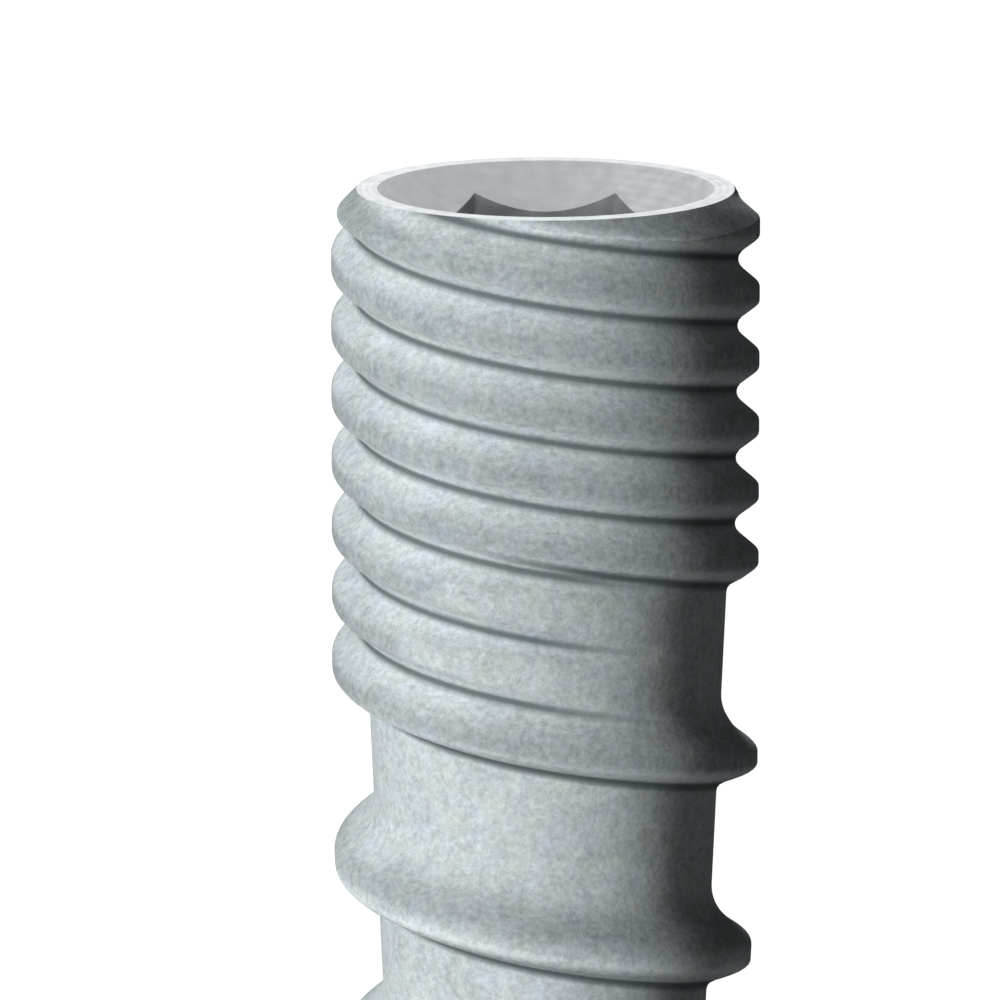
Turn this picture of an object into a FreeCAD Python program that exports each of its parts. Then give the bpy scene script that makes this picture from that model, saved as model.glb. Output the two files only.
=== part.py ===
import FreeCAD, Part
import math
import os
import Sketcher

# A root-form dental implant, turned and milled from one titanium bar. Its axis is Z, the apex stands
# on Z = 0 and the platform, where an abutment seats, is the flat ring at the top. Millimetres.
#
# All the threads share one lead and are left-handed: seen from the front they fall from left to right.
# At the neck three fine grooves run side by side and leave three crests. Further down one coarse groove
# swallows two of the crests, and the third goes on alone as the body thread down to the apex.

SIZES = [
    # Overall form
    ("implant_length", 11.5),
    ("implant_diameter", 4.2),
    ("apex_diameter", 3.4),
    ("taper_height", 6.2),
    ("apex_round", 0.45),
    ("platform_bevel", 0.25),
    # Thread that neck and body share: the kept crest is measured on the +X side, down from the platform
    ("thread_lead", 1.98),
    ("kept_crest_drop", 1.69),
    ("cutter_overrun", 0.3),
    # Fine grooves of the neck
    ("neck_starts", 3),
    ("chaser_clearance", 0.06),
    ("neck_groove_depth", 0.205),
    ("neck_groove_taper", 0.5),
    ("neck_flank_above", 37),
    ("neck_flank_below", 40),
    ("neck_root_flat", 0.1),
    ("neck_fade_angle", 90),
    # Coarse groove of the body
    ("body_groove_depth", 0.295),
    ("body_core_taper", 2.6),
    ("crest_land_below", 0.17),
    ("crest_land_above", 0.14),
    ("body_flank_below", 20),
    ("body_flank_above", 30),
    ("body_root_round_below", 0.1),
    ("body_root_round_above", 0.45),
    ("run_in_azimuth", -20),
    ("run_in_angle", 115),
    # Cutting flutes of the apex
    ("flute_count", 3),
    ("flute_height", 3.1),
    ("flute_depth", 0.95),
    ("flute_back_angle", 62),
    ("flute_root_round", 0.2),
    ("flute_azimuth", 65),
    # Connection for the abutment
    ("socket_mouth_diameter", 3.3),
    ("socket_bevel_angle", 45),
    ("hexagon_across_flats", 2.42),
    ("hexagon_depth", 1.75),
    ("relief_diameter", 2),
    ("relief_depth", 0.45),
    ("screw_bore_diameter", 1.6),
    ("screw_bore_depth", 3.4),
    ("drill_point_angle", 118),
]

doc = FreeCAD.newDocument("dental_implant")
sheet = doc.addObject("Spreadsheet::Sheet", "Sizes")
for row, (alias, size) in enumerate(SIZES, start=1):
    sheet.set("A%d" % row, alias)
    sheet.set("B%d" % row, str(size))
    sheet.setAlias("B%d" % row, alias)
doc.recompute()


def bind(target, path, formula):
    """Tie one property or constraint to the sheet."""
    target.setExpression(path, formula)


def number(formula):
    """What a formula on the sheet gives now, as a start for a sketch's geometry."""
    result = sheet.evalExpression(formula)
    return float(getattr(result, "Value", result))


def plane(body, role):
    return next(feature for feature in body.Origin.OriginFeatures if feature.Role == role)


def plane_axis(body):
    """The body's own Z axis."""
    return next(feature for feature in body.Origin.OriginFeatures if feature.Role == "Z_Axis")


def new_sketch(body, name, role, height="0", azimuth="0"):
    """A sketch on an origin plane, lifted along Z and, on XZ, turned about Z."""
    sketch = body.newObject("Sketcher::SketchObject", name)
    sketch.AttachmentSupport = [(plane(body, role), "")]
    sketch.MapMode = "FlatFace"
    upright = role == "XZ_Plane"
    turn_axis = FreeCAD.Vector(0, 1, 0) if upright else FreeCAD.Vector(0, 0, 1)
    sketch.AttachmentOffset = FreeCAD.Placement(FreeCAD.Vector(), FreeCAD.Rotation(turn_axis, 1))
    bind(sketch, "AttachmentOffset.Base." + ("y" if upright else "z"), height)
    bind(sketch, "AttachmentOffset.Rotation.Angle", azimuth)
    return sketch


def dimension(sketch, kind, geometry, point, formula):
    """Distance of a point from the sketch's origin along X or Y, tied to the sheet."""
    index = sketch.addConstraint(Sketcher.Constraint(kind, -1, 1, geometry, point, number(formula)))
    bind(sketch, "Constraints[%d]" % index, formula)


def outline(sketch, corners):
    """A closed outline through corners, each given by two formulas."""
    places = [FreeCAD.Vector(number(x), number(y), 0) for x, y in corners]
    count = len(corners)
    sides = [
        sketch.addGeometry(Part.LineSegment(places[side], places[(side + 1) % count]))
        for side in range(count)
    ]
    for side, following in zip(sides, sides[1:] + sides[:1]):
        sketch.addConstraint(Sketcher.Constraint("Coincident", side, 2, following, 1))
    for side, (x, y) in zip(sides, corners):
        dimension(sketch, "DistanceX", side, 1, x)
        dimension(sketch, "DistanceY", side, 1, y)


def round_corner(sketch, first_side, second_side, radius):
    """Round the corner where one side of an outline ends and the next begins."""
    sketch.fillet(first_side, 2, number(radius), True, True)
    arc = max(
        index for index, shape in enumerate(sketch.Geometry) if isinstance(shape, Part.ArcOfCircle)
    )
    index = sketch.addConstraint(Sketcher.Constraint("Radius", arc, number(radius)))
    bind(sketch, "Constraints[%d]" % index, radius)


def new_feature(body, kind, name, profile, **settings):
    """A feature on a sketch, whose settings are tied to the sheet where they are formulas."""
    feature = body.newObject("PartDesign::" + kind, name)
    feature.Profile = profile
    for key, setting in settings.items():
        if isinstance(setting, str):
            bind(feature, key, setting)
        else:
            setattr(feature, key, setting)
    return feature


def helical_cut(body, name, profile, height, cone_angle, downwards):
    """Sweep a profile along a left-hand helix that widens by cone_angle on its way."""
    cut = new_feature(
        body,
        "SubtractiveHelix",
        name,
        profile,
        ReferenceAxis=(profile, ["V_Axis"]),
        LeftHanded=True,
        Reversed=downwards,
    )
    cut.Mode = "pitch-height-angle"
    cut.Refine = False
    bind(cut, "Pitch", "Sizes.thread_lead")
    bind(cut, "Height", height)
    bind(cut, "Angle", cone_angle)
    return cut


# Formulas that several features share
LENGTH = "Sizes.implant_length"
CREST_RADIUS = "(Sizes.implant_diameter / 2)"
NECK_PITCH = "(Sizes.thread_lead / Sizes.neck_starts)"
KEPT_CREST = "(Sizes.implant_length - Sizes.kept_crest_drop)"


def circles_at(feature, height):
    """Names of a feature's circular edges at one height."""
    return [
        "Edge%d" % index
        for index, edge in enumerate(feature.Shape.Edges, start=1)
        if isinstance(edge.Curve, Part.Circle) and abs(edge.Curve.Center.z - height) < 1e-6
    ]


def turned_blank(body):
    """The blank: a cylinder whose lower half narrows on one long arc, with both ends broken."""
    sketch = new_sketch(body, "blank_outline", "XZ_Plane")
    length = number(LENGTH)
    radius = number(CREST_RADIUS)
    taper = number("Sizes.taper_height")
    apex = number("Sizes.apex_diameter / 2")
    inset = radius - apex
    arc_radius = (taper**2 + inset**2) / (2 * inset)
    arc_centre = FreeCAD.Vector(radius - arc_radius, taper, 0)
    circle = Part.Circle(arc_centre, FreeCAD.Vector(0, 0, 1), arc_radius)
    middle = FreeCAD.Vector(0, 0, 0)
    top = FreeCAD.Vector(0, length, 0)
    rim = FreeCAD.Vector(radius, length, 0)
    shoulder = FreeCAD.Vector(radius, taper, 0)
    sides = [
        Part.LineSegment(middle, FreeCAD.Vector(apex, 0, 0)),
        Part.ArcOfCircle(circle, -math.asin(taper / arc_radius), 0),
        Part.LineSegment(shoulder, rim),
        Part.LineSegment(rim, top),
        Part.LineSegment(top, middle),
    ]
    for side in sides:
        sketch.addGeometry(side)
    for side in (0, 2, 3, 4):
        sketch.addConstraint(Sketcher.Constraint("Coincident", side, 2, (side + 1) % 5, 1))
    sketch.addConstraint(Sketcher.Constraint("Tangent", 1, 2, 2, 1))
    for side, x, y in [
        (0, "0", "0"),
        (1, "Sizes.apex_diameter / 2", "0"),
        (2, CREST_RADIUS, "Sizes.taper_height"),
        (3, CREST_RADIUS, LENGTH),
        (4, "0", LENGTH),
    ]:
        dimension(sketch, "DistanceX", side, 1, x)
        dimension(sketch, "DistanceY", side, 1, y)
    blank = new_feature(
        body, "Revolution", "blank", sketch, ReferenceAxis=(sketch, ["V_Axis"]), Angle=360
    )
    doc.recompute()
    rounding = body.newObject("PartDesign::Fillet", "apex_rounding")
    rounding.Base = (blank, circles_at(blank, 0))
    bind(rounding, "Radius", "Sizes.apex_round")
    doc.recompute()
    bevel = body.newObject("PartDesign::Chamfer", "platform_edge")
    bevel.Base = (rounding, circles_at(rounding, length))
    bind(bevel, "Size", "Sizes.platform_bevel")
    doc.recompute()


def neck_groove_profile(body, name, height):
    """Section of a chaser at one height: a comb whose teeth cut all the fine grooves at once."""
    sketch = new_sketch(body, name, "XZ_Plane", height)
    gap = f"({CREST_RADIUS} + Sizes.chaser_clearance)"
    back = f"({gap} + Sizes.chaser_clearance)"
    teeth = []
    for tooth in range(int(number("Sizes.neck_starts"))):
        middle = f"(-{tooth} * {NECK_PITCH})"
        root = f"({CREST_RADIUS} - Sizes.neck_groove_depth"
        root += f" + ({height} + {middle} - {LENGTH}) * tan(Sizes.neck_groove_taper))"
        top = f"{middle} + Sizes.neck_root_flat / 2"
        bottom = f"{middle} - Sizes.neck_root_flat / 2"
        teeth += [
            (gap, f"{top} + ({gap} - {root}) * tan(Sizes.neck_flank_above)"),
            (root, top),
            (root, bottom),
            (gap, f"{bottom} - ({gap} - {root}) * tan(Sizes.neck_flank_below)"),
        ]
    outline(sketch, [(back, teeth[0][1])] + teeth + [(back, teeth[-1][1])])
    return sketch


def neck_thread(body):
    """Fine grooves a pitch apart, which fade out where the body groove has taken over."""
    first_groove = f"({KEPT_CREST} - {NECK_PITCH} / 2)"
    start = f"({first_groove} + 2 * Sizes.thread_lead)"
    end = f"({first_groove} - Sizes.thread_lead)"
    profile = neck_groove_profile(body, "neck_groove_sections", start)
    helical_cut(
        body, "neck_grooves", profile, "3 * Sizes.thread_lead", "-Sizes.neck_groove_taper", True
    )
    fade_profile = neck_groove_profile(body, "neck_fade_sections", end)
    fade_height = "(Sizes.thread_lead * Sizes.neck_fade_angle / 360)"
    rise = f"(Sizes.neck_groove_depth + ({LENGTH} - {end}) * tan(Sizes.neck_groove_taper))"
    helical_cut(
        body, "neck_fades", fade_profile, fade_height, f"atan(1.3 * {rise} / {fade_height})", True
    )


def body_groove_profile(body, name):
    """Section of the coarse groove where it reaches full depth, below the kept crest."""
    turn = "(1 + Sizes.run_in_azimuth / 360)"
    sketch = new_sketch(
        body, name, "XZ_Plane", f"{KEPT_CREST} - Sizes.thread_lead * {turn}", "Sizes.run_in_azimuth"
    )
    below = "tan(Sizes.body_flank_below)"
    above = "tan(Sizes.body_flank_above)"
    depth = "Sizes.body_groove_depth"
    core = f"({CREST_RADIUS} - {depth})"
    sharp_crest = f"((Sizes.crest_land_below + Sizes.crest_land_above) / ({below} + {above}))"
    overrun = f"(0.8 * {sharp_crest})"
    mouth = f"({CREST_RADIUS} + {overrun})"
    top = f"(Sizes.crest_land_below + {depth} * {below})"
    bottom = f"(Sizes.thread_lead - Sizes.crest_land_above - {depth} * {above})"
    taper = "tan(Sizes.body_core_taper)"
    corners = [
        (mouth, f"{overrun} * {below} - Sizes.crest_land_below"),
        (f"{core} - {top} * {taper}", f"-{top}"),
        (f"{core} - {bottom} * {taper}", f"-{bottom}"),
        (mouth, f"Sizes.crest_land_above - {overrun} * {above} - Sizes.thread_lead"),
    ]
    outline(sketch, corners)
    round_corner(sketch, 0, 1, "Sizes.body_root_round_below")
    round_corner(sketch, 1, 2, "Sizes.body_root_round_above")
    return sketch


def body_thread(body):
    """One coarse groove on a tapered core. It sinks in over part of a turn and runs out at the apex."""
    entry_profile = body_groove_profile(body, "run_in_section")
    entry_height = "(Sizes.thread_lead * Sizes.run_in_angle / 360)"
    entry_rise = "(Sizes.body_groove_depth + Sizes.thread_lead * tan(Sizes.body_core_taper))"
    entry_slope = f"atan({entry_rise} / {entry_height})"
    helical_cut(body, "body_groove_run_in", entry_profile, entry_height, entry_slope, False)
    profile = body_groove_profile(body, "body_groove_section")
    helical_cut(body, "body_groove", profile, KEPT_CREST, "-Sizes.body_core_taper", True)


def cutting_flutes(body):
    """Three flutes cut by a wheel from the apex up, each with a radial cutting face."""
    sketch = new_sketch(body, "flute_section", "XY_Plane", "0", "Sizes.flute_azimuth")
    root = "(Sizes.apex_diameter / 2 - Sizes.flute_depth)"
    mouth = f"({CREST_RADIUS} + Sizes.cutter_overrun)"
    reach = f"({CREST_RADIUS} - {root})"
    wheel_radius = f"((Sizes.flute_height ^ 2 + {reach} ^ 2) / (2 * {reach}))"
    wheel_centre = f"({root} + {wheel_radius})"
    corners = [
        (mouth, "0"),
        (root, "0"),
        (mouth, f"({mouth} - {root}) * tan(Sizes.flute_back_angle)"),
    ]
    outline(sketch, corners)
    round_corner(sketch, 0, 1, "Sizes.flute_root_round")
    foot = FreeCAD.Vector(number(wheel_centre), 0, 0)
    axis = sketch.addGeometry(Part.LineSegment(foot, foot + FreeCAD.Vector(0, 1, 0)), True)
    for end, height in ((1, "0"), (2, "1")):
        dimension(sketch, "DistanceX", axis, end, wheel_centre)
        dimension(sketch, "DistanceY", axis, end, height)
    flute = new_feature(
        body, "Groove", "flute", sketch, ReferenceAxis=(sketch, ["Axis0"]), Angle=360
    )
    flutes = body.newObject("PartDesign::PolarPattern", "flutes")
    flutes.Originals = [flute]
    flutes.Axis = (plane_axis(body), [""])
    flutes.Angle = 360
    bind(flutes, "Occurrences", "Sizes.flute_count")
    body.Tip = flutes


def connection(body):
    """The abutment's seat: bevelled mouth, hexagon broached into a pilot, relief and screw bore."""
    sketch = new_sketch(body, "pilot_outline", "XZ_Plane")
    mouth = "(Sizes.socket_mouth_diameter / 2)"
    pilot = "(Sizes.hexagon_across_flats / 2)"
    relief = "(Sizes.relief_diameter / 2)"
    socket_floor = f"({LENGTH} - Sizes.hexagon_depth)"
    relief_floor = f"({socket_floor} - Sizes.relief_depth)"
    corners = [
        ("0", LENGTH),
        (mouth, LENGTH),
        (pilot, f"{LENGTH} - ({mouth} - {pilot}) / tan(Sizes.socket_bevel_angle)"),
        (pilot, socket_floor),
        (relief, socket_floor),
        (relief, relief_floor),
        ("0", relief_floor),
    ]
    outline(sketch, corners)
    new_feature(
        body, "Groove", "pilot_and_bevel", sketch, ReferenceAxis=(sketch, ["V_Axis"]), Angle=360
    )
    hexagon = new_sketch(body, "hexagon", "XY_Plane", LENGTH)
    corner_radius = "(Sizes.hexagon_across_flats / 2 / cos(30))"
    corners = [
        (f"{corner_radius} * cos({60 * index})", f"{corner_radius} * sin({60 * index})")
        for index in range(6)
    ]
    outline(hexagon, corners)
    new_feature(body, "Pocket", "hexagon_socket", hexagon, Length="Sizes.hexagon_depth")
    circle = new_sketch(body, "screw_bore_circle", "XY_Plane", relief_floor)
    bore_radius = number("Sizes.screw_bore_diameter / 2")
    ring = circle.addGeometry(Part.Circle(FreeCAD.Vector(), FreeCAD.Vector(0, 0, 1), bore_radius))
    circle.addConstraint(Sketcher.Constraint("Coincident", ring, 3, -1, 1))
    index = circle.addConstraint(Sketcher.Constraint("Diameter", ring, 2 * bore_radius))
    bind(circle, "Constraints[%d]" % index, "Sizes.screw_bore_diameter")
    doc.recompute()
    bore = new_feature(body, "Hole", "screw_bore", circle)
    bore.DepthType = "Dimension"
    bore.DrillPoint = "Angled"
    bind(bore, "Diameter", "Sizes.screw_bore_diameter")
    bind(bore, "Depth", "Sizes.screw_bore_depth")
    bind(bore, "DrillPointAngle", "Sizes.drill_point_angle")


def check_features(body):
    """Every feature has to be sound, and every cut has to take something away."""
    for feature in doc.Objects:
        if "Invalid" in feature.State or "Error" in feature.State:
            raise RuntimeError("%s failed: %s" % (feature.Name, feature.State))
    volume = None
    for feature in body.Group:
        if not feature.isDerivedFrom("PartDesign::Feature"):
            continue
        left = feature.Shape.Volume
        if volume is not None and left >= volume:
            raise RuntimeError("%s took nothing away" % feature.Name)
        volume = left
        print("%-20s %9.4f mm3" % (feature.Name, left))
    shape = body.Shape
    if shape.isNull() or not shape.isValid() or len(shape.Solids) != 1:
        raise RuntimeError("%s is not one sound solid" % body.Label)


implant = doc.addObject("PartDesign::Body", "implant_body")
implant.Label = "implant_body"
turned_blank(implant)
neck_thread(implant)
body_thread(implant)
cutting_flutes(implant)
connection(implant)
doc.recompute()
check_features(implant)

os.makedirs("parts", exist_ok=True)
implant.Shape.exportStep("parts/%s.step" % implant.Label)
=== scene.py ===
# %% [markdown]
# # A dental implant
#
# A root-form dental implant is one piece of titanium, turned and milled from a bar. At the neck three
# fine grooves run side by side; further down one coarse groove takes over and leaves a single, deep
# thread. The surface is blasted with grit and etched, which makes it matt and evenly grey, while the
# platform and the socket for the abutment stay as the lathe left them.
#
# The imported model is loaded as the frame. It gives the box that the finished piece has to fill.

# %% The frame
import bpy
import math
import numpy as np
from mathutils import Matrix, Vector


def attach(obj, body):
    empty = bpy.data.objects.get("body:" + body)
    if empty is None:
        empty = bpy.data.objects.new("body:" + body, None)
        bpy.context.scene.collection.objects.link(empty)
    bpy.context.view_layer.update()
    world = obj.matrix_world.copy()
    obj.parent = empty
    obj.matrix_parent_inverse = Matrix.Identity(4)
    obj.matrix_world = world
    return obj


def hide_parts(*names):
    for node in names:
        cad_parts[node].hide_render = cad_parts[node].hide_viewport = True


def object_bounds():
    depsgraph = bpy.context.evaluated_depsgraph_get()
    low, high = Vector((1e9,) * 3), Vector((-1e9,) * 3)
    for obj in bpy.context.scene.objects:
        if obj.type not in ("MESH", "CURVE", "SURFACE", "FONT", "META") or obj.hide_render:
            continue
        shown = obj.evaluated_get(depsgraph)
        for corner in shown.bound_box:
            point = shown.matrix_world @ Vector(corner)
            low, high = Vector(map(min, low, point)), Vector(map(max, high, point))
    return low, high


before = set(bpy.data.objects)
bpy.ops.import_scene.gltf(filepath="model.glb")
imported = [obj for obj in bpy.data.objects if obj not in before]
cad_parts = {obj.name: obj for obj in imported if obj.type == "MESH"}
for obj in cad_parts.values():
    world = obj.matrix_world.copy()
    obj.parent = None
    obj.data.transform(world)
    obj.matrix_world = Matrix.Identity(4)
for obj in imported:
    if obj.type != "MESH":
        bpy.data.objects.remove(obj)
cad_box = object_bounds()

print("CAD box in metres:", cad_box)

# %% [markdown]
# ## Main sizes
#
# The implant is only 11.5 mm long. Blender's tools weld and cut to fixed small distances, so the piece
# is modelled with one unit as a millimetre and brought to metres at the end. The length comes from the
# frame. The other sizes are the ones that a maker's drawing would give, and each is named where it is
# first needed. Angles are in radians.

# %% Sizes that everything else hangs on
MM = 0.001
LENGTH = (cad_box[1][2] - cad_box[0][2]) / MM
CREST_RADIUS = 2.1
LEAD = 1.98
NECK_STARTS = 3
NECK_PITCH = LEAD / NECK_STARTS
print("length %.2f mm, lead %.2f mm, fine pitch %.2f mm" % (LENGTH, LEAD, NECK_PITCH))

# %% Distances below which two places count as one
WELD = 0.002
SAME_PLACE = 0.0005
CUT_TOLERANCE = 0.0001
print("points closer than %.3f mm are welded" % WELD)


# %% [markdown]
# ## Helpers for modelling by operators
#
# An operator acts on all that is selected, and the loaded frame is selected too. So everything else is
# deselected before a piece is worked on. Parts of a piece are selected by their place.


# %% One piece selected, and one part of it
def only(piece):
    """Deselect everything else and make one piece active."""
    bpy.ops.object.select_all(action="DESELECT")
    piece.select_set(True)
    bpy.context.view_layer.objects.active = piece


def finish_primitive(name):
    """Name the primitive that was just added, and drop the frame from the selection."""
    piece = bpy.context.object
    piece.name = name
    piece.data.name = name
    only(piece)
    return piece


def select_where(piece, is_there):
    """In edit mode, select the points that lie there, and the edges between them."""
    bpy.ops.mesh.select_all(action="DESELECT")
    bpy.ops.object.mode_set(mode="OBJECT")
    for vertex in piece.data.vertices:
        vertex.select = is_there(vertex.co)
    for edge in piece.data.edges:
        edge.select = all(piece.data.vertices[end].select for end in edge.vertices)
    bpy.ops.object.mode_set(mode="EDIT")


# %% Points read and placed by angle, radius and height
def read_points(piece):
    """The angle is 0 at the front and grows to the right."""
    points = np.empty(len(piece.data.vertices) * 3)
    piece.data.vertices.foreach_get("co", points)
    across, along, height = points.reshape(-1, 3).T
    return np.arctan2(across, -along), np.hypot(across, along), height


def place_points(piece, angle, radius, height):
    points = np.column_stack([radius * np.sin(angle), -radius * np.cos(angle), height])
    piece.data.vertices.foreach_set("co", points.ravel())
    piece.data.update()


# %% [markdown]
# ## The thread as a swept line
#
# A thread is a line that climbs while it turns, which is what the Screw modifier does. The line here
# is upright and one lead high: after a full turn it has come down by exactly its own height, so each
# turn welds to the next, and every row of the mesh follows the thread. The rows stand close together
# where the grooves have their edges and further apart on the flanks and the core.

# %% Sizes that decide where the rows lie
NECK_GROOVE_DEPTH = 0.205
NECK_FLANK_ABOVE = math.radians(37)
NECK_FLANK_BELOW = math.radians(40)
LAND_BELOW = 0.17
LAND_ABOVE = 0.14
print("coarse crest %.2f mm wide" % (LAND_BELOW + LAND_ABOVE))

# %% Heights of the rows within one lead
ROW_STEP = 0.034
ROOT_HALF = 0.07
SPARE_DEPTH = 0.07
half_above = (NECK_GROOVE_DEPTH + SPARE_DEPTH) * math.tan(NECK_FLANK_ABOVE)
half_below = (NECK_GROOVE_DEPTH + SPARE_DEPTH) * math.tan(NECK_FLANK_BELOW)
row_edges = [0.0, LAND_BELOW, LEAD - LAND_ABOVE, LEAD]
for groove in range(NECK_STARTS):
    middle = (groove + 0.5) * NECK_PITCH
    row_edges += [middle - half_above, middle - ROOT_HALF, middle, middle + ROOT_HALF, middle + half_below]
row_edges = sorted(row_edges)
row_drops = [0.0]
for upper, lower in zip(row_edges, row_edges[1:]):
    parts = max(1, round((lower - upper) / ROW_STEP))
    row_drops += [upper + (lower - upper) * (part + 1) / parts for part in range(parts)]
print(len(row_drops) - 1, "rows in one lead")


# %% A line grown from one point, and its sweep
def upright_line(name, radius, top, drops):
    """A line at the front, extruded down from its top point."""
    bpy.ops.object.select_all(action="DESELECT")
    bpy.ops.mesh.primitive_plane_add(size=1, location=(0, 0, 0))
    line = finish_primitive(name)
    bpy.ops.object.mode_set(mode="EDIT")
    bpy.ops.mesh.merge(type="CENTER")
    bpy.ops.transform.translate(value=(0, -radius, top))
    for upper, lower in zip(drops, drops[1:]):
        bpy.ops.mesh.extrude_region_move(TRANSFORM_OT_translate={"value": (0, 0, upper - lower)})
    bpy.ops.object.mode_set(mode="OBJECT")
    return line


def sweep_down(line, lead, turns, steps):
    """Screw the line down, falling to the right as seen from the front, and weld its turns."""
    screw = line.modifiers.new("thread", "SCREW")
    screw.axis = "Z"
    screw.angle = math.tau
    screw.screw_offset = -lead
    screw.iterations = turns
    screw.steps = steps
    screw.render_steps = steps
    bpy.ops.object.modifier_apply(modifier=screw.name)
    bpy.ops.object.mode_set(mode="EDIT")
    bpy.ops.mesh.select_all(action="SELECT")
    bpy.ops.mesh.remove_doubles(threshold=WELD)
    bpy.ops.object.mode_set(mode="OBJECT")


# %% The implant's line, swept down
STEPS = 128
TURNS = 8
implant = upright_line("implant_titanium", CREST_RADIUS, LENGTH + LEAD, row_drops)
print(implant.name, "line of", len(implant.data.vertices), "points")
sweep_down(implant, LEAD, TURNS, STEPS)
print(len(implant.data.polygons), "faces on", TURNS, "turns")

# %% [markdown]
# ## Cut to length
#
# A bar is parted off square at both ends. Bisect does that here. At the lower end the cut lies a
# little below the apex, because the rounding of the apex is rolled out of that length afterwards.
# One more cut, which removes nothing, marks the lower edge of the platform's bevel.


# %% One square cut
def cut_across(height, clear_above=False, clear_below=False):
    """Bisect the active piece in edit mode, and clear one side of the cut."""
    bpy.ops.mesh.select_all(action="SELECT")
    bpy.ops.mesh.bisect(
        plane_co=(0, 0, height),
        plane_no=(0, 0, 1),
        clear_outer=clear_above,
        clear_inner=clear_below,
        threshold=CUT_TOLERANCE,
    )


# %% Parting cuts
PLATFORM_BEVEL = 0.25
APEX_ROUND = 0.45
APEX_ROLL = APEX_ROUND * (math.pi / 2 - 1)
bpy.ops.object.mode_set(mode="EDIT")
cut_across(LENGTH, clear_above=True)
cut_across(LENGTH - PLATFORM_BEVEL)
cut_across(-APEX_ROLL, clear_below=True)
bpy.ops.object.mode_set(mode="OBJECT")
print(len(implant.data.polygons), "faces after the cuts")

# %% [markdown]
# ## The two threads that are one
#
# The neck's three grooves and the body's coarse groove share one lead, and the coarse one sinks in
# slowly while the fine ones fade. Cutting tools subtracted one by one would leave knife edges where
# they meet. Here the radius at each point of the surface is worked out instead, as the lowest of the
# blank, the fine grooves and the coarse groove, and wherever two of them meet they melt together, as
# blasting leaves real edges: over a few hundredths of a millimetre at the neck, and more on the body.

# %% Melting two surfaces together
EDGE_SOFTNESS = 0.05


def lower_of(first, second, softness=EDGE_SOFTNESS):
    """The smaller radius, rounded over where the two are nearly equal."""
    nearness = np.maximum(softness - np.abs(first - second), 0) / softness
    return np.minimum(first, second) - nearness * nearness * softness / 4


# %% Section of a fine groove
NECK_ROOT_ROUND = 0.11


def fine_groove(offset, root):
    """Radius at a distance from the groove's middle: a V with a round root."""
    flank = np.where(offset < 0, NECK_FLANK_ABOVE, NECK_FLANK_BELOW)
    away = np.abs(offset)
    round_end = NECK_ROOT_ROUND * np.cos(flank)
    round_part = root + NECK_ROOT_ROUND - np.sqrt(np.maximum(NECK_ROOT_ROUND**2 - away**2, 0))
    flat_part = root + NECK_ROOT_ROUND * (1 - np.sin(flank)) + (away - round_end) / np.tan(flank)
    return np.where(away < round_end, round_part, flat_part)


# %% Section of the coarse groove, one wall at a time
def coarse_wall(away, land, crest, core, flank, root_round):
    """Radius at a distance from the crest's middle: land, flank, round root, core."""
    foot = land + (crest - core) * math.tan(flank)
    round_start = foot + root_round * math.tan((math.pi / 2 - flank) / 2)
    wall = crest - (away - land) / math.tan(flank)
    reach = np.maximum(root_round**2 - (round_start - away) ** 2, 0)
    rounding = core + root_round - np.sqrt(reach)
    round_end = round_start - root_round * math.cos(flank)
    return np.where(away > round_start, core, np.where(away > round_end, rounding, wall))


# %% Envelope of the blank
APEX_RADIUS = 1.7
TAPER_HEIGHT = 6.2
ARC_INSET = CREST_RADIUS - APEX_RADIUS
ARC_RADIUS = (TAPER_HEIGHT**2 + ARC_INSET**2) / (2 * ARC_INSET)


def blank_radius(height):
    """A cylinder whose lower half narrows on one long arc, and the platform's bevel."""
    below = np.maximum(TAPER_HEIGHT - height, 0)
    side = CREST_RADIUS - ARC_RADIUS + np.sqrt(ARC_RADIUS**2 - below**2)
    return np.minimum(side, CREST_RADIUS - PLATFORM_BEVEL + LENGTH - height)


# %% Where a point lies on the thread
KEPT_CREST_DROP = 1.69
FRONT_CREST_HEIGHT = LENGTH - KEPT_CREST_DROP + LEAD / 4


def thread_place(angle, height):
    """How far a point lies below the crest, and how far the thread has turned down to there."""
    crest_height = FRONT_CREST_HEIGHT - LEAD * angle / math.tau
    drop = np.mod(crest_height - height, LEAD)
    turned = angle + math.tau * np.floor((crest_height - height) / LEAD)
    return drop, turned


# %% Surface of the neck, with its three grooves
NECK_GROOVE_TAPER = math.radians(0.5)
FINE_END = math.radians(450)
FINE_FADE = math.radians(70)


def neck_radius(angle, height):
    """Each groove is a V cut down to one root, and the root rises out of the metal where they end."""
    drop, turned = thread_place(angle, height)
    root = CREST_RADIUS - NECK_GROOVE_DEPTH - (LENGTH - height) * math.tan(NECK_GROOVE_TAPER)
    root = root + (CREST_RADIUS - root) * np.clip((turned - FINE_END) / FINE_FADE, 0, 1)
    return fine_groove(np.mod(drop, NECK_PITCH) - NECK_PITCH / 2, root)


# %% Bottom of the coarse groove
CORE_RADIUS = 1.805
CORE_RADIUS_HEIGHT = 7.94
CORE_TAPER = math.radians(2.6)
RUN_IN_END = math.radians(70) + math.tau
RUN_IN_ANGLE = math.radians(115)
RUN_IN_RISE = 0.33


def coarse_core(turned, height):
    """Lift is what the groove still has to sink: 1 where it begins, 0 a third of a turn further on."""
    lift = np.maximum((RUN_IN_END - turned) / RUN_IN_ANGLE, 0)
    core = CORE_RADIUS - (CORE_RADIUS_HEIGHT - height) * math.tan(CORE_TAPER) + RUN_IN_RISE * lift
    return lift, core


# %% Surface of the body, with its coarse groove
FLANK_BELOW = math.radians(20)
FLANK_ABOVE = math.radians(30)
ROOT_ROUND_BELOW = 0.1
ROOT_ROUND_ABOVE = 0.45
LEAST_DEPTH = 0.001
NO_GROOVE = 2 * CREST_RADIUS


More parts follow.
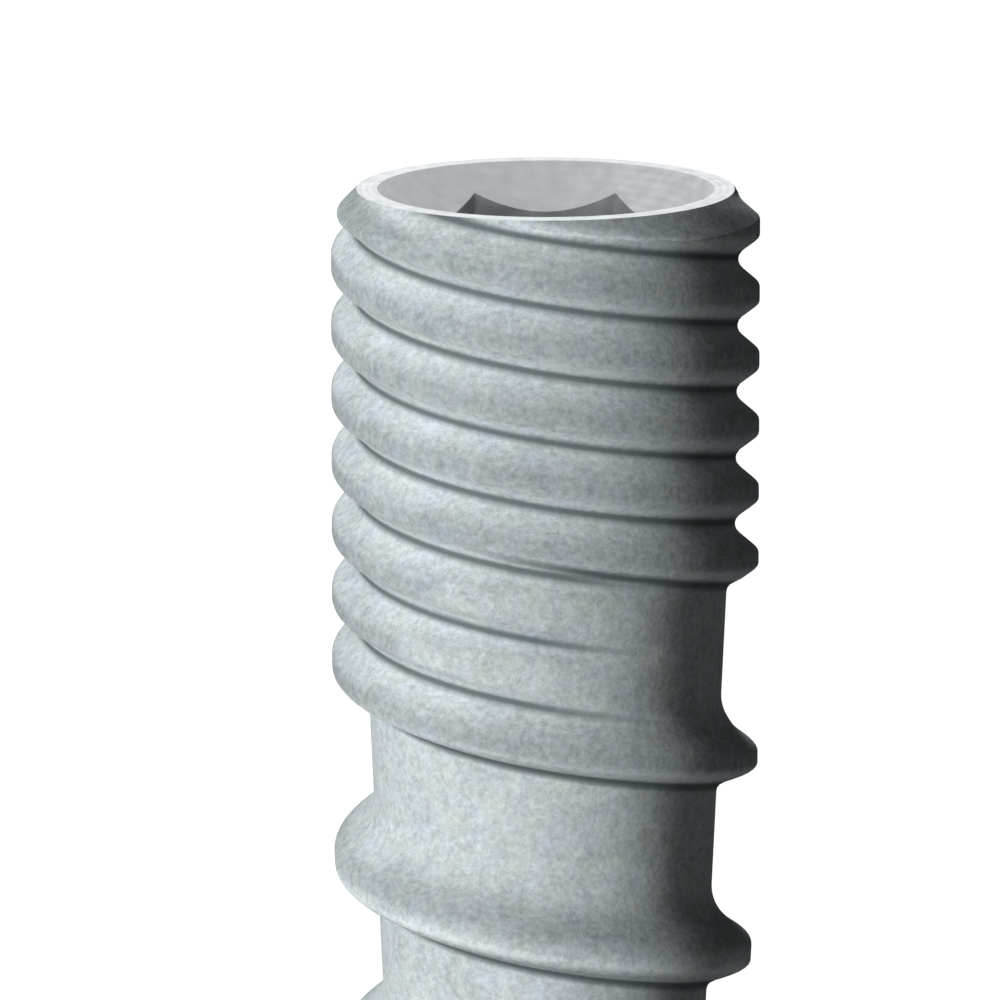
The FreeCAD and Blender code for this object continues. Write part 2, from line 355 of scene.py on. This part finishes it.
def body_radius(angle, height):
    """The groove lies between the crest above it and the one below."""
    drop, turned = thread_place(angle, height)
    lift, core = coarse_core(turned, height)
    crest = np.maximum(CREST_RADIUS, core + LEAST_DEPTH)
    under_crest = coarse_wall(drop, LAND_BELOW, crest, core, FLANK_BELOW, ROOT_ROUND_BELOW)
    over_crest = coarse_wall(LEAD - drop, LAND_ABOVE, crest, core, FLANK_ABOVE, ROOT_ROUND_ABOVE)
    coarse = np.maximum(under_crest, over_crest)
    return np.where((lift > 1) | (core > CREST_RADIUS), NO_GROOVE, coarse)


# %% Radius of the whole implant at a point
CREST_SOFTNESS = 0.22
LEAST_SOFTNESS = 1e-6


def implant_radius(angle, height):
    """The crests are softer on the body than at the neck, and the platform's edge stays sharp."""
    drop, turned = thread_place(angle, height)
    threads = lower_of(neck_radius(angle, height), body_radius(angle, height))
    on_body = np.clip((turned - FINE_END) / FINE_FADE, 0, 1)
    softness = EDGE_SOFTNESS + (CREST_SOFTNESS - EDGE_SOFTNESS) * on_body
    softness = np.minimum(softness, np.maximum(LENGTH - height, LEAST_SOFTNESS))
    return lower_of(blank_radius(height), threads, softness)


# %% The surface pushed to that radius
angle, radius, height = read_points(implant)
radius = implant_radius(angle, height)
print("radius from %.3f to %.3f mm" % (radius.min(), radius.max()))

# %% The apex rolled round
roll = np.clip((APEX_ROUND - height) / APEX_ROUND, 0, math.pi / 2)
rounded = height < APEX_ROUND
apex_limit = blank_radius(np.maximum(height, 0)) - APEX_ROUND * (1 - np.cos(roll))
radius = np.where(rounded, np.minimum(radius, apex_limit), radius)
height = np.where(rounded, APEX_ROUND * (1 - np.sin(roll)), height)
place_points(implant, angle, radius, height)
print(int(np.count_nonzero(rounded)), "points rolled round the apex")

# %% [markdown]
# ## Ends closed
#
# The piece is still an open tube. Each end is one loop of edges, so it is selected by its height and
# filled with a face; the connection and the flutes are cut into the closed body next.


# %% A face on each end
def close_ends(piece, levels):
    """Fill the loop of edges at each height, and turn the faces outwards."""
    only(piece)
    bpy.ops.object.mode_set(mode="EDIT")
    bpy.ops.mesh.select_mode(type="EDGE")
    for level in levels:
        select_where(piece, lambda place: abs(place.z - level) < SAME_PLACE)
        bpy.ops.mesh.edge_face_add()
    bpy.ops.mesh.select_all(action="SELECT")
    bpy.ops.mesh.normals_make_consistent(inside=False)
    bpy.ops.object.mode_set(mode="OBJECT")


close_ends(implant, (0.0, LENGTH))
print(len(implant.data.polygons), "faces on the closed body")

# %% [markdown]
# ## Cutting tools
#
# Everything that is milled or drilled is cut by a tool of its own shape, as on the machine. Each tool
# starts as a primitive: a cone for the bevelled mouth, a six-sided cylinder for the hexagon, a cylinder
# for the relief, a cone for the drill's point, a swept line for the tap and a wide flat cone for the
# wheel that mills a flute. Tools stand out of the metal by an overrun, and two tools that follow each
# other overlap a little, so that no skin is left between them.

# %% Sizes of the connection
MOUTH_RADIUS = 1.65
HEXAGON_HALF = 1.21
HEXAGON_DEPTH = 1.75
RELIEF_RADIUS = 1.0
RELIEF_DEPTH = 0.45
BORE_RADIUS = 0.8
BORE_DEPTH = 3.4
mouth_depth = MOUTH_RADIUS - HEXAGON_HALF
socket_floor = LENGTH - HEXAGON_DEPTH
relief_floor = socket_floor - RELIEF_DEPTH
bore_floor = relief_floor - BORE_DEPTH
print("hexagon %.2f mm across flats" % (2 * HEXAGON_HALF))
print("screw bore from %.2f down to %.2f mm" % (relief_floor, bore_floor))

# %% The bevelled mouth
TOOL_SIDES = 96
OVERRUN = 0.4
OVERLAP = 0.01
tools = []
bpy.ops.object.select_all(action="DESELECT")
bpy.ops.mesh.primitive_cone_add(
    vertices=TOOL_SIDES,
    radius1=HEXAGON_HALF - OVERLAP,
    radius2=MOUTH_RADIUS + OVERRUN,
    depth=mouth_depth + OVERLAP + OVERRUN,
    location=(0, 0, LENGTH + (OVERRUN - mouth_depth - OVERLAP) / 2),
    rotation=(0, 0, math.pi / TOOL_SIDES),
)
tools.append(finish_primitive("mouth_bevel"))
print("mouth %.2f mm deep" % mouth_depth)

# %% The hexagon, with two corners on X
HEXAGON_SIDES = 6
hexagon_height = HEXAGON_DEPTH + OVERRUN
bpy.ops.object.select_all(action="DESELECT")
bpy.ops.mesh.primitive_cylinder_add(
    vertices=HEXAGON_SIDES,
    radius=HEXAGON_HALF / math.cos(math.pi / HEXAGON_SIDES),
    depth=hexagon_height,
    location=(0, 0, LENGTH + OVERRUN - hexagon_height / 2),
    rotation=(0, 0, math.pi / HEXAGON_SIDES),
)
tools.append(finish_primitive("hexagon_broach"))
print("hexagon floor at %.2f mm" % socket_floor)

# %% The relief below it
bpy.ops.object.select_all(action="DESELECT")
bpy.ops.mesh.primitive_cylinder_add(
    vertices=TOOL_SIDES,
    radius=RELIEF_RADIUS,
    depth=2 * RELIEF_DEPTH,
    location=(0, 0, socket_floor),
)
tools.append(finish_primitive("relief_cutter"))
print("relief floor at %.2f mm" % relief_floor)

# %% The drill, a cone extruded upwards
DRILL_POINT = math.radians(118)
DRILL_OVERRUN = 0.1
point_height = BORE_RADIUS / math.tan(DRILL_POINT / 2)
bpy.ops.object.select_all(action="DESELECT")
bpy.ops.mesh.primitive_cone_add(
    vertices=TOOL_SIDES,
    radius1=0,
    radius2=BORE_RADIUS,
    depth=point_height,
    location=(0, 0, bore_floor - point_height / 2),
)
drill = finish_primitive("drill")
bpy.ops.object.mode_set(mode="EDIT")
bpy.ops.mesh.select_mode(type="VERT")
select_where(drill, lambda place: abs(place.z - point_height / 2) < SAME_PLACE)
bpy.ops.mesh.extrude_region_move(TRANSFORM_OT_translate={"value": (0, 0, BORE_DEPTH + DRILL_OVERRUN)})
bpy.ops.object.mode_set(mode="OBJECT")
tools.append(drill)
print("drill point %.2f mm deep" % point_height)

# %% [markdown]
# ## The tap
#
# The screw that holds the abutment needs a thread in the bore. The tap is made as the implant was: a
# line swept down, cut square, pushed out to the ridge's radius and closed. It starts a little off a
# whole pitch above the relief's floor, so that none of its rows lies exactly in that plane, where an
# exact Boolean could leave gaps.

# %% The tap's line, swept down and cut square
TAP_PITCH = 0.4
TAP_RUN_OUT = 0.5
TAP_STEPS = 48
TAP_ROWS = 8
TAP_START = 1.03
tap_start = relief_floor + TAP_START * TAP_PITCH
tap_top = relief_floor + TAP_PITCH / 3
tap_bottom = bore_floor + TAP_RUN_OUT
tap_turns = int((BORE_DEPTH - TAP_RUN_OUT) / TAP_PITCH) + 2
tap_drops = [TAP_PITCH * row / TAP_ROWS for row in range(TAP_ROWS + 1)]
tap = upright_line("tap", BORE_RADIUS, tap_start, tap_drops)
sweep_down(tap, TAP_PITCH, tap_turns, TAP_STEPS)
bpy.ops.object.mode_set(mode="EDIT")
cut_across(tap_top, clear_above=True)
cut_across(tap_bottom, clear_below=True)
bpy.ops.object.mode_set(mode="OBJECT")
print("tap with", tap_turns, "turns")

# %% The tap's ridges
TAP_DEPTH = 0.17
TAP_FLAT = 0.12
TAP_CLEARANCE = 0.005
angle, radius, height = read_points(tap)
ridge = np.abs(np.mod((tap_start - height) / TAP_PITCH - angle / math.tau, 1.0) - 0.5) * 2
ridge = np.clip((ridge - TAP_FLAT) / (1 - 2 * TAP_FLAT), 0, 1)
place_points(tap, angle, BORE_RADIUS + TAP_CLEARANCE + TAP_DEPTH * ridge, height)
close_ends(tap, (tap_top, tap_bottom))
tools.append(tap)
print("tap %.2f mm across" % (2 * (BORE_RADIUS + TAP_DEPTH)))

# %% [markdown]
# ## The flutes
#
# Three flutes at the apex let the implant cut its own thread. A wheel with one steep and one sloping
# face mills them: the steep face leaves the cutting edge. The wheel is a low, wide cone that stands
# on edge beside the implant, with the rim rounded, and it is copied to the three places.

# %% The wheel
FLUTE_HEIGHT = 3.1
FLUTE_ROOT = 0.75
FLUTE_BACK_ANGLE = math.radians(62)
FLUTE_ROOT_ROUND = 0.2
WHEEL_SIDES = 256
RIM_SEGMENTS = 6
reach = CREST_RADIUS - FLUTE_ROOT
wheel_radius = (FLUTE_HEIGHT**2 + reach**2) / (2 * reach)
wheel_thickness = (CREST_RADIUS + OVERRUN - FLUTE_ROOT) * math.tan(FLUTE_BACK_ANGLE)
bpy.ops.object.select_all(action="DESELECT")
bpy.ops.mesh.primitive_cone_add(
    vertices=WHEEL_SIDES,
    radius1=wheel_radius,
    radius2=wheel_radius - wheel_thickness / math.tan(FLUTE_BACK_ANGLE),
    depth=wheel_thickness,
    location=(FLUTE_ROOT + wheel_radius, wheel_thickness / 2, 0),
    rotation=(-math.pi / 2, 0, 0),
)
wheel = finish_primitive("flute_wheel")
bpy.ops.object.transform_apply(location=True, rotation=True, scale=True)
bpy.ops.object.mode_set(mode="EDIT")
bpy.ops.mesh.select_mode(type="EDGE")
select_where(wheel, lambda place: abs(place.y) < SAME_PLACE)
bpy.ops.mesh.bevel(offset=FLUTE_ROOT_ROUND, segments=RIM_SEGMENTS)
bpy.ops.object.mode_set(mode="OBJECT")
print("wheel radius %.2f mm" % wheel_radius)

# %% Its three places
FLUTES = 3
FLUTE_AZIMUTH = math.radians(65)
for flute in range(FLUTES):
    only(wheel)
    bpy.ops.object.duplicate()
    flute_cutter = finish_primitive("flute_cutter_%d" % (flute + 1))
    flute_cutter.rotation_euler = (0, 0, FLUTE_AZIMUTH + flute * math.tau / FLUTES)
    bpy.ops.object.transform_apply(location=True, rotation=True, scale=True)
    tools.append(flute_cutter)
bpy.data.objects.remove(wheel)
print(FLUTES, "flutes,", len(tools), "tools in all")

# %% [markdown]
# ## The cuts
#
# A Boolean modifier takes each tool away from the implant, one after the other, as the machine would.
# Tools joined into one first would be quicker, but where their faces nearly touch, a join can fail and
# leave a skin across the socket.

# %% The implant cut
only(implant)
for tool in tools:
    cut = implant.modifiers.new(tool.name, "BOOLEAN")
    cut.operation = "DIFFERENCE"
    cut.solver = "EXACT"
    cut.object = tool
    bpy.ops.object.modifier_apply(modifier=cut.name)
    bpy.data.objects.remove(tool)
print(len(implant.data.polygons), "faces after cutting")

# %% [markdown]
# ## Where light and shade are painted
#
# The finish paints light and shade into the colour: painted light on the flanks of the grooves and
# on a strip above the coarse crest's foot, painted shade on the lands, in the bottom of each narrow
# groove and at the foot of the coarse crest. The finish needs to know where those places are, so
# each vertex keeps three numbers as named attributes, worked out from where it lies on the thread.

# %% Where each point lies on the cut piece
FULL_DEPTH = 0.12
SKIN = 0.05
angle, radius, height = read_points(implant)
drop, turned = thread_place(angle, height)
lift, core = coarse_core(turned, height)
from_groove = np.mod(drop, NECK_PITCH) - NECK_PITCH / 2
from_crest = np.mod(drop + LEAD / 2, LEAD) - LEAD / 2
fine_depth = np.minimum(CREST_RADIUS, body_radius(angle, height)) - neck_radius(angle, height)
fine_share = np.clip(fine_depth / FULL_DEPTH, 0, 1)
coarse_share = np.clip((CREST_RADIUS - core) / FULL_DEPTH, 0, 1) * (lift < 1)
outside = radius > core - SKIN
print(int(np.count_nonzero(outside)), "of", len(radius), "points lie on the outside")


# %% A soft band
def band(distance, half_width, plateau=1.5):
    """1 along the middle of a band, falling to 0 over one half width around its edge."""
    return np.clip(plateau - np.abs(distance) / half_width, 0, 1)


# %% Painted shade on the lands of the neck
LAND_SHADE_DEPTH = 0.03
LAND_FROM_GROOVE = 0.14
LAND_FADE = 0.12
land_shade = np.clip(1 - (blank_radius(np.maximum(height, 0)) - radius) / LAND_SHADE_DEPTH, 0, 1)
land_shade = land_shade * np.clip((np.abs(from_groove) - LAND_FROM_GROOVE) / LAND_FADE, 0, 1)
print("darkened lands of the neck:", int(np.count_nonzero(land_shade > 0.5)), "points")

# %% The painted shade band of the coarse crests, which lies a little higher from the second one on
SECOND_CREST = 2.3
CREST_CHANGE = 0.5
SHADE_BAND_RISE = 0.02
SHADE_BAND_SECOND_RISE = 0.09
SHADE_BAND_HALF = 0.09
SHADE_BAND_PLATEAU = 1.6
SHADE_BAND_SHARE = 0.8
crest_turns = turned / math.tau + (drop > LEAD / 2)
second = np.clip((crest_turns - SECOND_CREST) / CREST_CHANGE, 0, 1) * outside
shaded = band(from_crest + SHADE_BAND_RISE + SHADE_BAND_SECOND_RISE * second, SHADE_BAND_HALF, SHADE_BAND_PLATEAU)
land_shade = land_shade * (1 - second) + SHADE_BAND_SHARE * shaded * second
print("with the dull band:", int(np.count_nonzero(land_shade > 0.5)), "points")

# %% Painted shade in the roots of the fine grooves, and at the foot of the coarse crest
ROOT_RISE = 0.025
ROOT_LINE_HALF = 0.045
ROOT_BELOW_CORE = 0.1
FOOT_LINE_HALF = 0.05
FOOT_SKIN = 0.12
foot = LAND_BELOW + (CREST_RADIUS - core) * math.tan(FLANK_BELOW)
root_shade = band(from_groove + ROOT_RISE, ROOT_LINE_HALF) * fine_share
root_shade = root_shade * (radius > CORE_RADIUS - ROOT_BELOW_CORE)
foot_shade = band(drop - foot, FOOT_LINE_HALF) * coarse_share * (np.abs(radius - core) < FOOT_SKIN)
root_shade = np.maximum(root_shade, foot_shade)
print("roots and foot:", int(np.count_nonzero(root_shade > 0.5)), "points")

# %% Painted light on the flanks, and a painted light strip above the coarse crest's foot
FLANK_FROM_GROOVE = 0.13
FLANK_HALF = 0.06
FLANK_SHARE_BELOW = 0.5
STRIP_DROP = 0.19
STRIP_SECOND_RISE = 0.05
STRIP_SHARE = 0.8
flank_light_weight = fine_share * np.where(from_groove < 0, 1.0, FLANK_SHARE_BELOW) * (radius > CORE_RADIUS)
flank_light = band(np.abs(from_groove) - FLANK_FROM_GROOVE, FLANK_HALF) * flank_light_weight
strip = band(from_crest - STRIP_DROP + STRIP_SECOND_RISE * second, FLANK_HALF) * coarse_share * outside
flank_light = np.maximum(flank_light, STRIP_SHARE * strip)
print("flanks and strip:", int(np.count_nonzero(flank_light > 0.5)), "points")

# %% Painted shade and painted light, kept as attributes
for name, amount in [("painted_shade_on_lands", land_shade), ("painted_light_on_flanks", flank_light), ("painted_shade_in_roots", root_shade)]:
    attribute = implant.data.attributes.new(name, "FLOAT", "POINT")
    attribute.data.foreach_set("value", amount)
    print(name, "from %.2f to %.2f" % (amount.min(), amount.max()))

# %% To metres
SMOOTH_ANGLE = math.radians(32)
only(implant)
implant.scale = (MM, MM, MM)
bpy.ops.object.transform_apply(location=True, rotation=True, scale=True)
bpy.ops.object.shade_smooth_by_angle(angle=SMOOTH_ANGLE)
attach(implant, "root")
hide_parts("implant_body")
triangles = sum(len(face.vertices) - 2 for face in implant.data.polygons)
print(implant.name, triangles, "triangles")

# %% [markdown]
# ## Tools for finishes
#
# A finish is a tree of nodes. Adding nodes one by one hides the idea behind them, so sums and products
# are written as plain expressions here, and every other node comes from one method. Patterns read the
# object's own coordinates in millimetres, so they stay put when the camera or the implant moves.


# %% Shader maths written as expressions
class Signal:
    """A number that varies over the surface. Adding or multiplying it adds Math nodes."""

    def __init__(self, nodes, socket):
        self.nodes = nodes
        self.socket = socket

    def combine(self, operation, first, second):
        node = self.nodes.node("ShaderNodeMath", {"operation": operation}, {0: first, 1: second})
        return Signal(self.nodes, node.outputs[0])

    def __add__(self, other):
        return self.combine("ADD", self, other)

    def __radd__(self, other):
        return self.combine("ADD", other, self)

    def __sub__(self, other):
        return self.combine("SUBTRACT", self, other)

    def __rsub__(self, other):
        return self.combine("SUBTRACT", other, self)

    def __mul__(self, other):
        return self.combine("MULTIPLY", self, other)

    def __rmul__(self, other):
        return self.combine("MULTIPLY", other, self)

    def __pow__(self, other):
        return self.combine("POWER", self, other)


# %% A tree of nodes
class Nodes:
    """A node tree under construction."""

    def __init__(self, tree):
        self.tree = tree

    def node(self, kind, settings, inputs):
        """Add a node, set its options, then its sockets by value or link."""
        node = self.tree.nodes.new(kind)
        for key, value in settings.items():
            setattr(node, key, value)
        for key, value in inputs.items():
            self.feed(node.inputs[key], value)
        return node

    def feed(self, socket, value):
        if isinstance(value, Signal):
            value = value.socket
        if isinstance(value, bpy.types.NodeSocket):
            self.tree.links.new(value, socket)
        else:
            socket.default_value = value

    def seen(self):
        """1 for what the camera sees straight, mirrored or through glass, 0 for the light on things."""
        path = self.node("ShaderNodeLightPath", {}, {})
        straight = Signal(self, path.outputs["Is Camera Ray"])
        mirrored = Signal(self, path.outputs["Is Glossy Ray"])
        return straight + mirrored + Signal(self, path.outputs["Is Transmission Ray"])


# %% A material
class Finish(Nodes):
    """A material under construction, with its coordinates in millimetres."""

    def __init__(self, name):
        self.material = bpy.data.materials.new(name)
        self.material.use_nodes = True
        super().__init__(self.material.node_tree)
        self.shader = self.tree.nodes["Principled BSDF"]
        coordinates = self.node("ShaderNodeTexCoord", {}, {}).outputs["Object"]
        in_mm = {"Vector": coordinates, "Scale": (1 / MM, 1 / MM, 1 / MM)}
        self.place = self.node("ShaderNodeMapping", {}, in_mm).outputs["Vector"]

    def noise(self, per_mm, detail=2.0, roughness=0.5):
        """Soft noise around 0."""
        inputs = {"Vector": self.place, "Scale": per_mm, "Detail": detail, "Roughness": roughness}
        return Signal(self, self.node("ShaderNodeTexNoise", {}, inputs).outputs["Fac"]) - 0.5

    def between(self, dark, light, amount):
        """A colour between two, by a signal from 0 to 1."""
        settings = {"data_type": "RGBA", "clamp_factor": True}
        return self.node("ShaderNodeMix", settings, {0: amount, 6: (*dark, 1), 7: (*light, 1)}).outputs[2]

    def attribute(self, name):
        return Signal(self, self.node("ShaderNodeAttribute", {"attribute_name": name}, {}).outputs["Fac"])

    def relief(self, height, depth_mm, strength):
        inputs = {"Height": height, "Distance": depth_mm * MM, "Strength": strength}
        return self.node("ShaderNodeBump", {}, inputs).outputs["Normal"]


# %% [markdown]
# ## Blasted titanium
#
# Grit leaves dents less than a tenth of a millimetre wide, and the acid bath roughens them again. Such
# a surface scatters light evenly, like chalk, and shows neither highlight nor reflection. So the finish
# is left without Metallic and without specular light. Its grain is in the colour, the roughness and the
# relief, in two sizes, with a soft mottle and wider clouds where the blast struck longer.
# Its colour also carries painted shade on the lands and in the groove roots, and painted light on the
# flanks.

# %% Grain of the blasted finish, in patches per millimetre
CLOUDS = 1.1
TINT = 4.0
MOTTLE = 6.0
DENTS = 15.0
ETCH = 42.0
print("dents about %.2f mm wide" % (1 / DENTS))

# %% Tones of the blasted finish, with its painted shade and painted light
BLASTED_DARK = (0.125, 0.15, 0.158)
BLASTED_LIGHT = (0.72, 0.77, 0.80)
COOL_HUE = (0.98, 1.0, 1.04)
WARM_HUE = (1.0, 1.01, 0.95)
BLASTED_TONE = 0.66
CLOUD_CONTRAST = 0.3
MOTTLE_CONTRAST = 0.35
DENT_CONTRAST = 0.8
DENT_CONTRAST_ON_LAND = 0.3
ETCH_CONTRAST = 0.4
# Painted shade: how much the lands are darkened in the colour.
LAND_PAINTED_SHADE = 0.38
# Painted light: how much the flanks and the strip above the crest's foot are lightened in the colour.
FLANK_PAINTED_LIGHT = 0.5
# Painted shade: how much the groove roots and the crest's foot are darkened in the colour.
ROOT_PAINTED_SHADE = 0.95
HUE_SPREAD = 2.5
print("roots keep %.0f %% of the tone" % (100 * (1 - ROOT_PAINTED_SHADE)))

# %% Roughness and relief of the blasted finish
BLASTED_ROUGHNESS = 0.62
DENT_ROUGHNESS = 0.3
DENT_RELIEF = 0.6
ETCH_RELIEF = 0.3
GRAIN_DEPTH = 0.02
GRAIN_STRENGTH = 0.3
print("grain up to %.3f mm deep" % (GRAIN_DEPTH * (DENT_RELIEF + ETCH_RELIEF)))


# %% The blasted finish
def blasted_titanium():
    """Grey grain, with painted shade on the lands and in the roots, and painted light on the flanks."""
    finish = Finish("blasted_titanium")
    clouds = finish.noise(CLOUDS, detail=3.0)
    mottle = finish.noise(MOTTLE)
    dents = finish.noise(DENTS, detail=3.0, roughness=0.65)
    etch = finish.noise(ETCH, roughness=0.6)
    # The three attributes carry painted shade on the lands and in the roots, and painted light on the
    # flanks.
    land = finish.attribute("painted_shade_on_lands")
    flank = finish.attribute("painted_light_on_flanks")
    root = finish.attribute("painted_shade_in_roots")
    tone = BLASTED_TONE + clouds * CLOUD_CONTRAST + mottle * MOTTLE_CONTRAST + etch * ETCH_CONTRAST
    tone = tone + dents * (DENT_CONTRAST + DENT_CONTRAST_ON_LAND * land)
    # Painted shade on the lands and roots and painted light on the flanks, multiplied into the tone.
    tone = tone * (1 - LAND_PAINTED_SHADE * land) * (1 + FLANK_PAINTED_LIGHT * flank) * (1 - ROOT_PAINTED_SHADE * root)
    grey = finish.between(BLASTED_DARK, BLASTED_LIGHT, tone)
    hue = finish.between(COOL_HUE, WARM_HUE, 0.5 + finish.noise(TINT) * HUE_SPREAD)
    color = finish.node("ShaderNodeVectorMath", {"operation": "MULTIPLY"}, {0: grey, 1: hue}).outputs[0]
    grain = dents * DENT_RELIEF + etch * ETCH_RELIEF
    finish.feed(finish.shader.inputs["Base Color"], color)
    finish.feed(finish.shader.inputs["Roughness"], BLASTED_ROUGHNESS + dents * DENT_ROUGHNESS)
    finish.feed(finish.shader.inputs["Normal"], finish.relief(grain, GRAIN_DEPTH, GRAIN_STRENGTH))
    finish.shader.inputs["Metallic"].default_value = 0.0
    finish.shader.inputs["Specular IOR Level"].default_value = 0.0
    return finish.material


# %% [markdown]
# ## Turned titanium
#
# The platform and the socket aren't blasted: the abutment has to seat on clean metal. They keep the
# fine rings of the lathe, one for each turn of its feed, and mirror their surroundings softly.

# %% Values of the turned finish
FEED_MARK = 0.07
TURNED_DARK = (0.34, 0.36, 0.37)
TURNED_LIGHT = (0.50, 0.52, 0.53)
HAZE = 6.0
TURNED_ROUGHNESS = 0.4
HAZE_ROUGHNESS = 0.16
RING_DEPTH = 0.002
RING_STRENGTH = 0.25
print("feed of the lathe %.2f mm" % FEED_MARK)


# %% The turned finish of platform and socket
def turned_titanium():
    """Bright, with the fine rings of the lathe."""
    finish = Finish("turned_titanium")
    parts = finish.node("ShaderNodeSeparateXYZ", {}, {"Vector": finish.place})
    across, along = (Signal(finish, parts.outputs[axis]) for axis in range(2))
    phase = (across * across + along * along) ** 0.5 * (math.tau / FEED_MARK)
    rings = Signal(finish, finish.node("ShaderNodeMath", {"operation": "SINE"}, {0: phase}).outputs[0])
    haze = finish.noise(HAZE, detail=3.0)
    finish.feed(finish.shader.inputs["Base Color"], finish.between(TURNED_DARK, TURNED_LIGHT, 0.5 + haze))
    finish.feed(finish.shader.inputs["Roughness"], TURNED_ROUGHNESS + haze * HAZE_ROUGHNESS)
    finish.feed(finish.shader.inputs["Normal"], finish.relief(rings, RING_DEPTH, RING_STRENGTH))
    finish.shader.inputs["Metallic"].default_value = 1.0
    return finish.material


# %% Each finish on its faces
SOCKET_MARGIN = 0.03
POINT_ROOM = 0.6
implant.data.materials.clear()
implant.data.materials.append(blasted_titanium())
implant.data.materials.append(turned_titanium())
bright_faces = 0
for face in implant.data.polygons:
    middle = face.center / MM
    in_socket = math.hypot(middle.x, middle.y) < MOUTH_RADIUS + SOCKET_MARGIN
    in_connection = in_socket and middle.z > bore_floor - POINT_ROOM
    on_platform = middle.z > LENGTH - WELD
    if in_connection or on_platform:
        face.material_index = 1
        bright_faces += 1
print(bright_faces, "turned faces,", len(implant.data.polygons) - bright_faces, "blasted faces")

# %% [markdown]
# ## Floor, light and camera
#
# The implant stands on its apex on a pale floor. The background is white for the camera and for what
# the metal mirrors, and the floor keeps the shadow. One soft lamp stands low at the front left, so both
# flanks of each groove get light and the right edge falls off to dark. A weaker lamp behind the implant
# lights its back, and hardly reaches what the camera sees.

# %% Floor
FLOOR_SIDE = 1.2
FLOOR_COLOR = (0.15, 0.15, 0.15, 1)
FLOOR_ROUGHNESS = 0.9
FLOOR_GLOW = 0.91
WHITE = (1, 1, 1, 1)
bpy.ops.object.select_all(action="DESELECT")
bpy.ops.mesh.primitive_plane_add(size=FLOOR_SIDE, location=(0, 0, 0))
floor = finish_primitive("floor")
floor_finish = Finish("pale_floor")
floor_finish.shader.inputs["Base Color"].default_value = FLOOR_COLOR
floor_finish.shader.inputs["Roughness"].default_value = FLOOR_ROUGHNESS
plain = floor_finish.shader.outputs[0]
glow = floor_finish.node("ShaderNodeEmission", {}, {"Color": WHITE, "Strength": FLOOR_GLOW}).outputs[0]
glowing = floor_finish.node("ShaderNodeAddShader", {}, {0: plain, 1: glow}).outputs[0]
pick = floor_finish.node("ShaderNodeMixShader", {}, {0: floor_finish.seen(), 1: plain, 2: glowing})
floor_finish.feed(floor_finish.tree.nodes["Material Output"].inputs["Surface"], pick.outputs[0])
floor.data.materials.append(floor_finish.material)
print(floor.name, "stands for the table")

# %% World
AMBIENT = 0.02
world = bpy.data.worlds.new("studio")
bpy.context.scene.world = world
world.use_nodes = True
sky = Nodes(world.node_tree)
background = sky.tree.nodes["Background"]
background.inputs["Color"].default_value = WHITE
level = sky.node("ShaderNodeMapRange", {}, {"Value": sky.seen(), "To Min": AMBIENT, "To Max": 1.0})
sky.feed(background.inputs["Strength"], level.outputs[0])
print("the world lights the implant with %.2f of its white" % AMBIENT)

# %% Lamps
LAMP_DISTANCE = 0.5
LAMP_AIM = 0.007


def soft_lamp(name, azimuth, elevation, side, watts):
    """A square lamp that faces the implant. Azimuth 0 is in front, plus is to the right, in degrees."""
    lamp_data = bpy.data.lights.new(name, "AREA")
    lamp_data.shape = "SQUARE"
    lamp_data.size = side
    lamp_data.energy = watts
    lamp = bpy.data.objects.new(name, lamp_data)
    bpy.context.scene.collection.objects.link(lamp)
    turn = math.radians(azimuth)
    rise = math.radians(elevation)
    lamp.location = (
        LAMP_DISTANCE * math.cos(rise) * math.sin(turn),
        -LAMP_DISTANCE * math.cos(rise) * math.cos(turn),
        LAMP_AIM + LAMP_DISTANCE * math.sin(rise),
    )
    lamp.rotation_euler = (math.pi / 2 - rise, 0, turn)
    print(name, "lamp of %.2f W" % watts)


soft_lamp("key", azimuth=-42, elevation=10, side=0.12, watts=2.75)
soft_lamp("back", azimuth=195, elevation=45, side=0.14, watts=1.1)

# %% Camera
VIEW_TILT = math.radians(11.22)
VIEW_DISTANCE = 0.1129
VIEW_TARGET = (-0.0004454, 0.0, 0.0083935)
VIEW_SENSOR = 36
VIEW_LENS = 413.5
VIEW_NEAREST = 0.01
camera_data = bpy.data.cameras.new("camera")
camera = bpy.data.objects.new("camera", camera_data)
bpy.context.scene.collection.objects.link(camera)
camera.location = (
    VIEW_TARGET[0],
    VIEW_TARGET[1] - VIEW_DISTANCE * math.cos(VIEW_TILT),
    VIEW_TARGET[2] + VIEW_DISTANCE * math.sin(VIEW_TILT),
)
camera.rotation_euler = (math.pi / 2 - VIEW_TILT, 0, 0)
camera_data.sensor_width = VIEW_SENSOR
camera_data.lens = VIEW_LENS
camera_data.clip_start = VIEW_NEAREST
bpy.context.scene.camera = camera
bpy.context.scene.view_settings.view_transform = "Standard"
print("camera %.1f mm away" % (VIEW_DISTANCE / MM))
